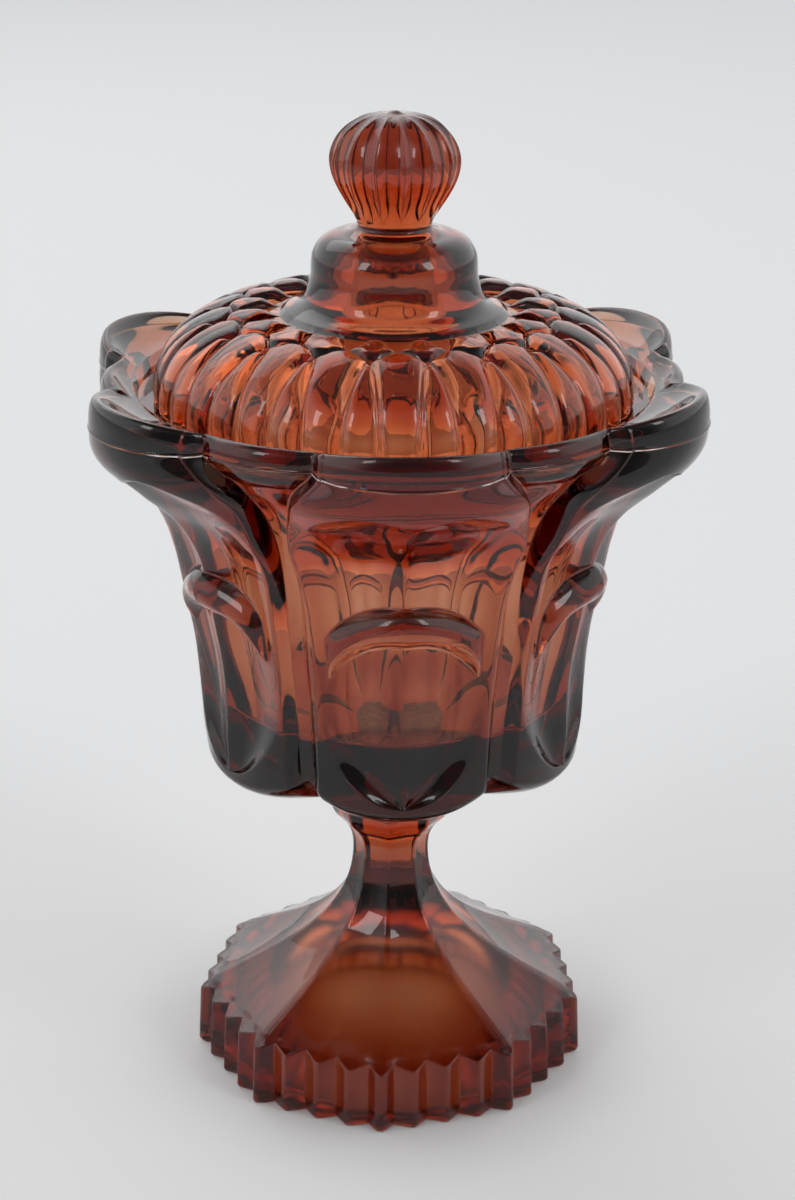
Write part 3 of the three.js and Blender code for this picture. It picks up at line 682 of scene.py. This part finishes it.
def groove_share(radius):
    """Where the groove runs, from the middle of a wide gadroon (0) to that of a narrow one (1)."""
    outer = min(max((radius - PINCH_RADIUS) / (LID_RADIUS - PINCH_RADIUS), 0), 1)
    arch = min(max((radius - ARCH_RADIUS) / (PINCH_RADIUS - ARCH_RADIUS), 0), 1)
    diamond = min(max((ARCH_RADIUS - radius) / (ARCH_RADIUS - DIAMOND_RADIUS), 0), 1)
    if radius >= PINCH_RADIUS:
        return 1 - (1 - GADROON_EDGE_SHARE) * outer**FROM_PINCH_POWER
    return arch**ARCH_POWER if radius >= ARCH_RADIUS else diamond


def dome_ring(radius, height, wide_swell, narrow_swell, inward, down):
    """One ring of the dome, with the columns drawn towards the grooves."""
    groove = min(max(groove_share(radius), NARROWEST_SHARE), 1 - NARROWEST_SHARE)
    pair_share = (LID_STEPS % PAIR_COLUMNS) / PAIR_COLUMNS
    half = 1 - np.abs(1 - 2 * pair_share)
    place = np.where(half < 0.5, half * 2 * groove, mix(groove, 1, half * 2 - 1))
    share = np.where(half < 0.5, half * 2, 2 - half * 2)
    rounded = (1 - share**GADROON_POWER) ** (1 / GADROON_POWER)
    sunk = GADROON_DEPTH * (1 - np.where(half < 0.5, wide_swell, narrow_swell) * rounded)
    across = np.where(pair_share <= 0.5, place, 2 - place)
    angle = LID_TURN + (LID_STEPS // PAIR_COLUMNS) * PAIR_ANGLE + across * HALF_PAIR
    return polar(radius - sunk * inward, angle, height - sunk * down)


# Where the gadroons and diamonds rise and fade, as shares of the stretches between their ends
STEEP_POWER = 6
NARROW_FADE_SHARE = 0.25
WIDE_FADE_SHARE = 0.5
DIAMOND_FADE_SHARE = 0.6
DIAMOND_HOLD_SHARE = 0.3


def dome_row(radius):
    """A ring on the dome, where gadroons and diamonds rise and fade."""
    steepness = (radius / LID_RADIUS) ** STEEP_POWER
    beyond_pinch = (radius - PINCH_RADIUS) / (LID_RADIUS - PINCH_RADIUS)
    beyond_arch = (radius - ARCH_RADIUS) / (PINCH_RADIUS - ARCH_RADIUS)
    beyond_diamond = (radius - DIAMOND_RADIUS) / (ARCH_RADIUS - DIAMOND_RADIUS)
    diamond_top = 1 - smooth(DIAMOND_HOLD_SHARE, 1, beyond_arch)
    diamond = float(smooth(0, DIAMOND_FADE_SHARE, beyond_diamond) * diamond_top)
    narrow = max(float(smooth(0, NARROW_FADE_SHARE, beyond_pinch)), diamond)
    wide = float(smooth(0, WIDE_FADE_SHARE, beyond_arch))
    return dome_ring(radius, dome_height(radius), wide, narrow, steepness, 1 - steepness)


def dome_rings():
    """The rounded rim of the lid, the gadroons, their arches and the diamonds."""
    rings = []
    for share in steps(EDGE_STEPS):
        turn = share * QUARTER_TURN
        radius = LID_RADIUS - LID_EDGE_ROUNDING * (1 - math.sin(turn))
        height = LEDGE_HEIGHT + LID_EDGE_ROUNDING * (1 - math.cos(turn))
        rings.append(dome_ring(radius, height, 1, 1, 1, 0))
    for share in steps(GADROON_STEPS)[:-1]:
        rings.append(dome_row(mix(PINCH_RADIUS, LID_RADIUS, math.cos(share * QUARTER_TURN))))
    for share in steps(ARCH_STEPS)[:-1]:
        rings.append(dome_row(mix(PINCH_RADIUS, ARCH_RADIUS, share)))
    for share in steps(DIAMOND_STEPS):
        rings.append(dome_row(mix(ARCH_RADIUS, DIAMOND_RADIUS, share)))
    return rings


# Collar and knob
COLLAR_STEPS = 60
LID_INSIDE_STEPS = 64
LID_INSIDE_FIRST_STEP = 2
COLLAR_SHARES = [
    (0, 0), (0.24, 0.1), (0.35, 0.34), (0.37, 0.56), (0.4, 0.66),
    (0.49, 0.77), (0.64, 0.84), (0.85, 0.87), (1, 0.93), (1, 1),
]
LID_INSIDE_SHARES = [
    (0, 0), (0.12, 0), (0.15, 0.02), (0.17, 0.06), (0.185, 0.15), (0.2, 0.28), (0.25, 0.41),
    (0.36, 0.48), (0.44, 0.5), (0.6, 0.525), (0.76, 0.585), (0.89, 0.68), (0.97, 0.81), (1, 1),
]
KNOB_FLUTE_POWER = 0.6
KNOB_SHARES = [(0, 0), (0.35, 0.3), (1, 0.6), (1, 1)]
KNOB_RADIUS_POWER = 0.9
KNOB_HEIGHT_POWER = 1.1
KNOB_FADE_POWER = 0.5
KNOB_START_SHARE = 0.5
KNOB_HALF_STEPS = 34
NIPPLE_STEPS = 8


def turned_rings(start, end, shares, count, first):
    """Round rings along an outline between two radii and heights."""
    curve = outline(start, end, shares)
    places = [spline(curve, share) for share in steps(count, first)]
    return [polar(radius, LID_ANGLES, height) for radius, height in places]


def knob_ring(radius, height, depth):
    """A ring of the knob, with a flute between each two ridges."""
    ridge_columns = LID_COLUMNS // KNOB_RIDGES
    across = (LID_STEPS % ridge_columns) / ridge_columns
    angle = KNOB_TURN + LID_STEPS * FULL_TURN / LID_COLUMNS
    return polar(radius - depth * np.sin(math.pi * across) ** KNOB_FLUTE_POWER, angle, height)


def knob_rings():
    """The neck's widening, the ribbed ball and the small nib on its top."""
    rings = []
    below = outline((NECK_RADIUS, NECK_HEIGHT), (KNOB_RADIUS, KNOB_MIDDLE_HEIGHT), KNOB_SHARES)
    for share in steps(KNOB_HALF_STEPS, 1):
        radius, height = bezier(*below, share)
        depth = KNOB_FLUTE_DEPTH * float(smooth(0, KNOB_START_SHARE, share))
        rings.append(knob_ring(radius, height, depth))
    for share in steps(KNOB_HALF_STEPS, 1):
        turn = share * QUARTER_TURN
        level = max(math.cos(turn), 0)
        radius = mix(NIPPLE_RADIUS, KNOB_RADIUS, level**KNOB_RADIUS_POWER)
        height = mix(KNOB_MIDDLE_HEIGHT, KNOB_TOP_HEIGHT, math.sin(turn) ** KNOB_HEIGHT_POWER)
        rings.append(knob_ring(radius, height, KNOB_FLUTE_DEPTH * level**KNOB_FADE_POWER))
    for share in steps(NIPPLE_STEPS, 1)[:-1]:
        height = mix(KNOB_TOP_HEIGHT, NIPPLE_TOP_HEIGHT, float(smooth(0, 1, share)))
        rings.append(knob_ring(NIPPLE_RADIUS * (1 - share), height, 0))
    return rings


def lid():
    """The dome, collar and knob as one piece of glass."""
    roof = (0, COLLAR_HOLLOW_HEIGHT)
    seat = (SEAT_INNER_RADIUS, LEDGE_HEIGHT)
    collar_foot = (COLLAR_FOOT_RADIUS, COLLAR_FOOT_HEIGHT)
    neck = (NECK_RADIUS, NECK_HEIGHT)
    inside = turned_rings(roof, seat, LID_INSIDE_SHARES, LID_INSIDE_STEPS, LID_INSIDE_FIRST_STEP)
    collar = turned_rings(collar_foot, neck, COLLAR_SHARES, COLLAR_STEPS, 0)
    piece = glass_mesh("lid_glass", [*inside, *dome_rings(), *collar, *knob_rings()])
    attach(piece, "cover")
    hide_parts("lid", "lid_knob")
    return piece


# Materials


def amber_glass():
    """Clear fire-polished surface over glass that takes up blue and green with depth.

    The surface ripples slightly, and is satin where the points of the mesh say so.
    """
    material = bpy.data.materials.new("amber_glass")
    material.use_nodes = True
    tree = material.node_tree
    tree.nodes.clear()
    output = tree.nodes.new("ShaderNodeOutputMaterial")
    surface = tree.nodes.new("ShaderNodeBsdfPrincipled")
    surface.inputs["Base Color"].default_value = (1, 1, 1, 1)
    surface.inputs["Transmission Weight"].default_value = 1
    surface.inputs["IOR"].default_value = GLASS_IOR
    satin = tree.nodes.new("ShaderNodeAttribute")
    satin.attribute_name = "satin"
    roughness = tree.nodes.new("ShaderNodeMapRange")
    roughness.inputs["To Min"].default_value = GLASS_ROUGHNESS
    roughness.inputs["To Max"].default_value = SATIN_ROUGHNESS
    tree.links.new(satin.outputs["Fac"], roughness.inputs["Value"])
    tree.links.new(roughness.outputs["Result"], surface.inputs["Roughness"])
    depth = tree.nodes.new("ShaderNodeVolumeAbsorption")
    depth.inputs["Color"].default_value = GLASS_TINT
    depth.inputs["Density"].default_value = GLASS_DENSITY
    ripple = tree.nodes.new("ShaderNodeTexNoise")
    ripple.inputs["Scale"].default_value = RIPPLE_SCALE
    ripple.inputs["Detail"].default_value = RIPPLE_DETAIL
    place = tree.nodes.new("ShaderNodeTexCoord")
    bump = tree.nodes.new("ShaderNodeBump")
    bump.inputs["Strength"].default_value = RIPPLE_STRENGTH
    bump.inputs["Distance"].default_value = RIPPLE_DEPTH
    tree.links.new(place.outputs["Object"], ripple.inputs["Vector"])
    tree.links.new(ripple.outputs["Fac"], bump.inputs["Height"])
    tree.links.new(bump.outputs["Normal"], surface.inputs["Normal"])
    tree.links.new(surface.outputs["BSDF"], output.inputs["Surface"])
    tree.links.new(depth.outputs["Volume"], output.inputs["Volume"])
    return material


def floor_material():
    """A pale, even, matt sweep."""
    material = bpy.data.materials.new("pale_sweep")
    material.use_nodes = True
    surface = material.node_tree.nodes["Principled BSDF"]
    surface.inputs["Base Color"].default_value = FLOOR_COLOUR
    surface.inputs["Roughness"].default_value = FLOOR_ROUGHNESS
    return material


# Floor, light and camera


def add_floor():
    corners = [(-1, -1, 0), (1, -1, 0), (1, 1, 0), (-1, 1, 0)]
    mesh = bpy.data.meshes.new("floor")
    mesh.from_pydata([Vector(corner) * FLOOR_REACH for corner in corners], [], [(0, 1, 2, 3)])
    floor = bpy.data.objects.new("floor", mesh)
    bpy.context.scene.collection.objects.link(floor)
    floor.data.materials.append(floor_material())


def add_softbox(name, place, target, size, power):
    """A rectangular lamp that faces its target."""
    data = bpy.data.lights.new(name, "AREA")
    data.shape = "RECTANGLE"
    data.size, data.size_y = size
    data.energy = power
    lamp = bpy.data.objects.new(name, data)
    lamp.location = place
    lamp.rotation_euler = (Vector(target) - Vector(place)).to_track_quat("-Z", "Y").to_euler()
    bpy.context.scene.collection.objects.link(lamp)


def add_world():
    """A pale studio: bright all round, dimmer overhead and behind the photographer."""
    world = bpy.data.worlds.new("studio")
    bpy.context.scene.world = world
    world.use_nodes = True
    tree = world.node_tree
    tree.nodes.clear()
    place = tree.nodes.new("ShaderNodeTexCoord")
    axes = tree.nodes.new("ShaderNodeSeparateXYZ")
    overhead = tree.nodes.new("ShaderNodeMapRange")
    overhead.interpolation_type = "SMOOTHSTEP"
    overhead.inputs["From Min"].default_value = ZENITH_EDGE
    overhead.inputs["From Max"].default_value = ZENITH_MIDDLE
    overhead.inputs["To Min"].default_value = STUDIO_LEVEL
    overhead.inputs["To Max"].default_value = ZENITH_LEVEL
    front = tree.nodes.new("ShaderNodeMapRange")
    front.interpolation_type = "SMOOTHSTEP"
    front.inputs["From Min"].default_value = -FRONT_EDGE
    front.inputs["From Max"].default_value = -FRONT_MIDDLE
    front.inputs["To Min"].default_value = 1
    front.inputs["To Max"].default_value = FRONT_SHARE
    level = tree.nodes.new("ShaderNodeMath")
    level.operation = "MULTIPLY"
    background = tree.nodes.new("ShaderNodeBackground")
    background.inputs["Color"].default_value = STUDIO_COLOUR
    output = tree.nodes.new("ShaderNodeOutputWorld")
    tree.links.new(place.outputs["Generated"], axes.inputs["Vector"])
    tree.links.new(axes.outputs["Z"], overhead.inputs["Value"])
    tree.links.new(axes.outputs["Y"], front.inputs["Value"])
    tree.links.new(overhead.outputs["Result"], level.inputs[0])
    tree.links.new(front.outputs["Result"], level.inputs[1])
    tree.links.new(level.outputs["Value"], background.inputs["Strength"])
    tree.links.new(background.outputs["Background"], output.inputs["Surface"])


def add_camera():
    """The photograph's view: slightly turned, from above, with a long lens."""
    data = bpy.data.cameras.new("camera")
    data.sensor_fit = "VERTICAL"
    data.sensor_height = SENSOR_HEIGHT
    data.lens = FOCAL_PIXELS / PHOTO_HEIGHT * data.sensor_height
    data.shift_x = VIEW_SHIFT_PIXELS / PHOTO_HEIGHT
    camera = bpy.data.objects.new("camera", data)
    across = CAMERA_DISTANCE * math.cos(CAMERA_ELEVATION)
    target = Vector((0, 0, CAMERA_TARGET_HEIGHT)) * MM
    place = target + MM * Vector(
        (
            across * math.sin(CAMERA_TURN),
            -across * math.cos(CAMERA_TURN),
            CAMERA_DISTANCE * math.sin(CAMERA_ELEVATION),
        )
    )
    aim = (target - place).to_track_quat("-Z", "Y").to_matrix().to_4x4()
    camera.matrix_world = Matrix.Translation(place) @ aim @ Matrix.Rotation(CAMERA_ROLL, 4, "Z")
    bpy.context.scene.collection.objects.link(camera)
    bpy.context.scene.camera = camera


def set_up_scene():
    scene = bpy.context.scene
    scene.view_settings.view_transform = "Standard"
    scene.cycles.max_bounces = GLASS_BOUNCES
    scene.cycles.transmission_bounces = GLASS_BOUNCES
    scene.cycles.glossy_bounces = GLOSSY_BOUNCES
    add_camera()
    add_world()
    add_floor()
    for softbox in SOFTBOXES:
        add_softbox(*softbox)


def build():
    glass = amber_glass()
    for piece in (dish(), lid()):
        piece.data.materials.append(glass)


set_up_scene()
build()
